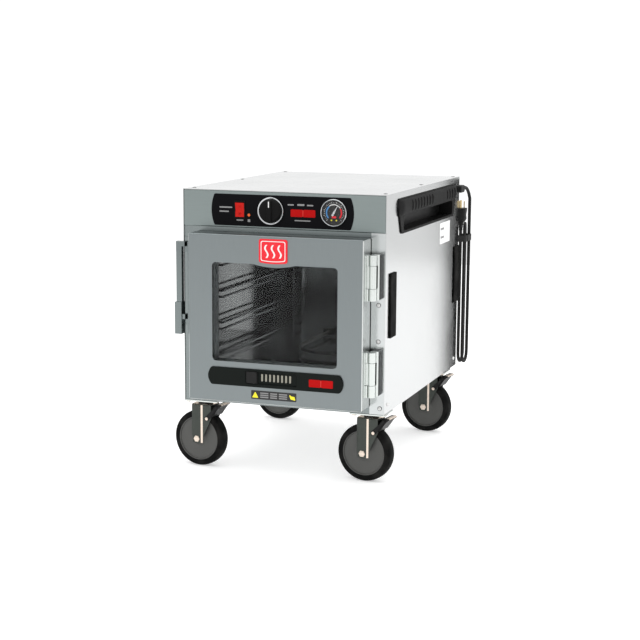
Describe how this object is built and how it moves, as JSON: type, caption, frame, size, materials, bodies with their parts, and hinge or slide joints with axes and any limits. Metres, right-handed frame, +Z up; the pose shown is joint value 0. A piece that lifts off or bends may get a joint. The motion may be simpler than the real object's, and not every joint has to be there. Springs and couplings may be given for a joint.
{
  "type": "food holding cabinet",
  "caption": "Mobile heated holding cabinet with a glazed hinged door, wire pan slides, dial controls, side grips, a mains cord and swivel casters.",
  "frame": {"origin": "on the floor, in the middle of the footprint of the cabinet and its casters, without the cord", "axes": "+Y from the door to the back, +X to the hinge side of the door, +Z up"},
  "size_m": [0.5204, 0.747, 0.627],
  "materials": {
    "panel_steel": "brushed stainless steel, bright",
    "door_steel": "satin stainless steel, grey",
    "polished_steel": "polished stainless steel",
    "hinge_steel": "satin plated steel",
    "liner_steel": "satin stainless steel",
    "rack_wire": "bright wire",
    "element_dark": "oxidised tube",
    "insulation_wool": "glass wool",
    "overlay_black": "glossy printed film",
    "vent_black": "moulded black plastic",
    "vent_tab": "moulded dark grey plastic",
    "knob_black": "moulded black plastic with a metal rim",
    "thermostat_white": "moulded housing",
    "switch_black": "moulded black plastic",
    "rocker_red": "translucent red plastic",
    "pilot_amber": "translucent amber lens",
    "gauge_chrome": "chromed ring, black dial",
    "needle_white": "white paint",
    "grip_black": "grained moulded plastic",
    "bumper_black": "black rubber",
    "screw_steel": "plated screws",
    "gland_black": "moulded black plastic",
    "cord_black": "black cord jacket",
    "plug_black": "moulded black plug with brass blades",
    "caster_plate_black": "black plated steel",
    "glass_tinted": "tinted tempered glass",
    "gasket_black": "extruded seal",
    "latch_steel": "satin stainless steel",
    "fork_steel": "dark grey plated pressed steel",
    "axle_zinc": "yellow zinc plated",
    "hub_grey": "warm dark grey moulded disc",
    "tyre_black": "black rubber",
    "brake_black": "black painted pressed steel"
  },
  "bodies": {
    "cabinet": {"base_pan": "panel_steel", "left_side_panel": "panel_steel", "right_side_panel": "panel_steel", "top_panel": "panel_steel", "back_panel": "panel_steel", "front_frame": "polished_steel", "control_fascia": "door_steel", "control_overlay": "overlay_black", "cavity_liner": "liner_steel", "insulation": "insulation_wool", "rack_uprights": "rack_wire", "pan_slides": "rack_wire", "heating_element": "element_dark", "thermostat_body": "thermostat_white", "power_switch_case": "switch_black", "pilot_light": "pilot_amber", "thermometer_case": "gauge_chrome", "side_handles": "grip_black", "side_bumpers": "bumper_black", "body_screws": "screw_steel", "strike_plate": "polished_steel", "hinge_frame_leaves": "hinge_steel", "hinge_pins": "hinge_steel", "cord_gland": "gland_black", "cord_lead": "cord_black", "cord_hank": "cord_black", "cord_plug": "plug_black", "caster_plates": "caster_plate_black"},
    "door": {"door_skin": "door_steel", "door_back": "liner_steel", "window_panes": "glass_tinted", "door_gasket": "gasket_black", "vent_cover": "vent_black", "hinge_door_leaves": "hinge_steel", "latch_housing": "latch_steel"},
    "latch": {"latch_lever": "latch_steel"},
    "vent_shutter": {"vent_slider": "vent_tab"},
    "knob": {"thermostat_knob": "knob_black"},
    "rocker": {"power_rocker": "rocker_red"},
    "needle": {"thermometer_needle": "needle_white"},
    "front_left_swivel": {"front_left_fork": "fork_steel", "front_left_axle": "axle_zinc"},
    "front_left_wheel": {"front_left_hub": "hub_grey", "front_left_tyre": "tyre_black"},
    "front_left_pedal": {"front_left_brake": "brake_black"},
    "front_right_swivel": {"front_right_fork": "fork_steel", "front_right_axle": "axle_zinc"},
    "front_right_wheel": {"front_right_hub": "hub_grey", "front_right_tyre": "tyre_black"},
    "front_right_pedal": {"front_right_brake": "brake_black"},
    "rear_left_swivel": {"rear_left_fork": "fork_steel", "rear_left_axle": "axle_zinc"},
    "rear_left_wheel": {"rear_left_hub": "hub_grey", "rear_left_tyre": "tyre_black"},
    "rear_left_pedal": {"rear_left_brake": "brake_black"},
    "rear_right_swivel": {"rear_right_fork": "fork_steel", "rear_right_axle": "axle_zinc"},
    "rear_right_wheel": {"rear_right_hub": "hub_grey", "rear_right_tyre": "tyre_black"},
    "rear_right_pedal": {"rear_right_brake": "brake_black"}
  },
  "joints": [
    {"name": "door_hinge", "type": "hinge", "parent": "cabinet", "child": "door", "pos_m": [0.225, -0.312, 0.355], "axis": [0, 0, 1], "range_deg": [0, 180]},
    {"name": "latch_pull", "type": "hinge", "parent": "door", "child": "latch", "pos_m": [-0.196, -0.314, 0.415], "axis": [0, 0, 1], "range_deg": [0, 30], "stiffness_Nm_per_rad": 0.3},
    {"name": "vent_slide", "type": "slide", "parent": "door", "child": "vent_shutter", "axis": [1, 0, 0], "range_m": [0, 0.088]},
    {"name": "knob_turn", "type": "hinge", "parent": "cabinet", "child": "knob", "pos_m": [-0.014, -0.29, 0.585], "axis": [0, 1, 0], "range_deg": [-150, 150]},
    {"name": "rocker_tilt", "type": "hinge", "parent": "cabinet", "child": "rocker", "pos_m": [-0.086, -0.278, 0.585], "axis": [1, 0, 0], "range_deg": [-9, 0]},
    {"name": "needle_turn", "type": "hinge", "parent": "cabinet", "child": "needle", "pos_m": [0.129, -0.285, 0.586], "axis": [0, 1, 0], "range_deg": [-165, 105]},
    {"name": "front_left_swivel_turn", "type": "hinge", "parent": "cabinet", "child": "front_left_swivel", "pos_m": [-0.183, -0.2495, 0.1435], "axis": [0, 0, 1], "continuous": true},
    {"name": "front_left_wheel_roll", "type": "hinge", "parent": "front_left_swivel", "child": "front_left_wheel", "pos_m": [-0.19488, -0.24783, 0.0635], "axis": [0.1392, 0.9903, 0], "continuous": true},
    {"name": "front_left_pedal_press", "type": "hinge", "parent": "front_left_swivel", "child": "front_left_pedal", "pos_m": [-0.16914, -0.25145, 0.112], "axis": [0.1392, 0.9903, 0], "range_deg": [0, 18]},
    {"name": "front_right_swivel_turn", "type": "hinge", "parent": "cabinet", "child": "front_right_swivel", "pos_m": [0.207, -0.2495, 0.1435], "axis": [0, 0, 1], "continuous": true},
    {"name": "front_right_wheel_roll", "type": "hinge", "parent": "front_right_swivel", "child": "front_right_wheel", "pos_m": [0.19512, -0.24783, 0.0635], "axis": [0.1392, 0.9903, 0], "continuous": true},
    {"name": "front_right_pedal_press", "type": "hinge", "parent": "front_right_swivel", "child": "front_right_pedal", "pos_m": [0.22086, -0.25145, 0.112], "axis": [0.1392, 0.9903, 0], "range_deg": [0, 18]},
    {"name": "rear_left_swivel_turn", "type": "hinge", "parent": "cabinet", "child": "rear_left_swivel", "pos_m": [-0.183, 0.25, 0.1435], "axis": [0, 0, 1], "continuous": true},
    {"name": "rear_left_wheel_roll", "type": "hinge", "parent": "rear_left_swivel", "child": "rear_left_wheel", "pos_m": [-0.19488, 0.25167, 0.0635], "axis": [0.1392, 0.9903, 0], "continuous": true},
    {"name": "rear_left_pedal_press", "type": "hinge", "parent": "rear_left_swivel", "child": "rear_left_pedal", "pos_m": [-0.16914, 0.24805, 0.112], "axis": [0.1392, 0.9903, 0], "range_deg": [0, 18]},
    {"name": "rear_right_swivel_turn", "type": "hinge", "parent": "cabinet", "child": "rear_right_swivel", "pos_m": [0.207, 0.25, 0.1435], "axis": [0, 0, 1], "continuous": true},
    {"name": "rear_right_wheel_roll", "type": "hinge", "parent": "rear_right_swivel", "child": "rear_right_wheel", "pos_m": [0.19512, 0.25167, 0.0635], "axis": [0.1392, 0.9903, 0], "continuous": true},
    {"name": "rear_right_pedal_press", "type": "hinge", "parent": "rear_right_swivel", "child": "rear_right_pedal", "pos_m": [0.22086, 0.24805, 0.112], "axis": [0.1392, 0.9903, 0], "range_deg": [0, 18]}
  ]
}
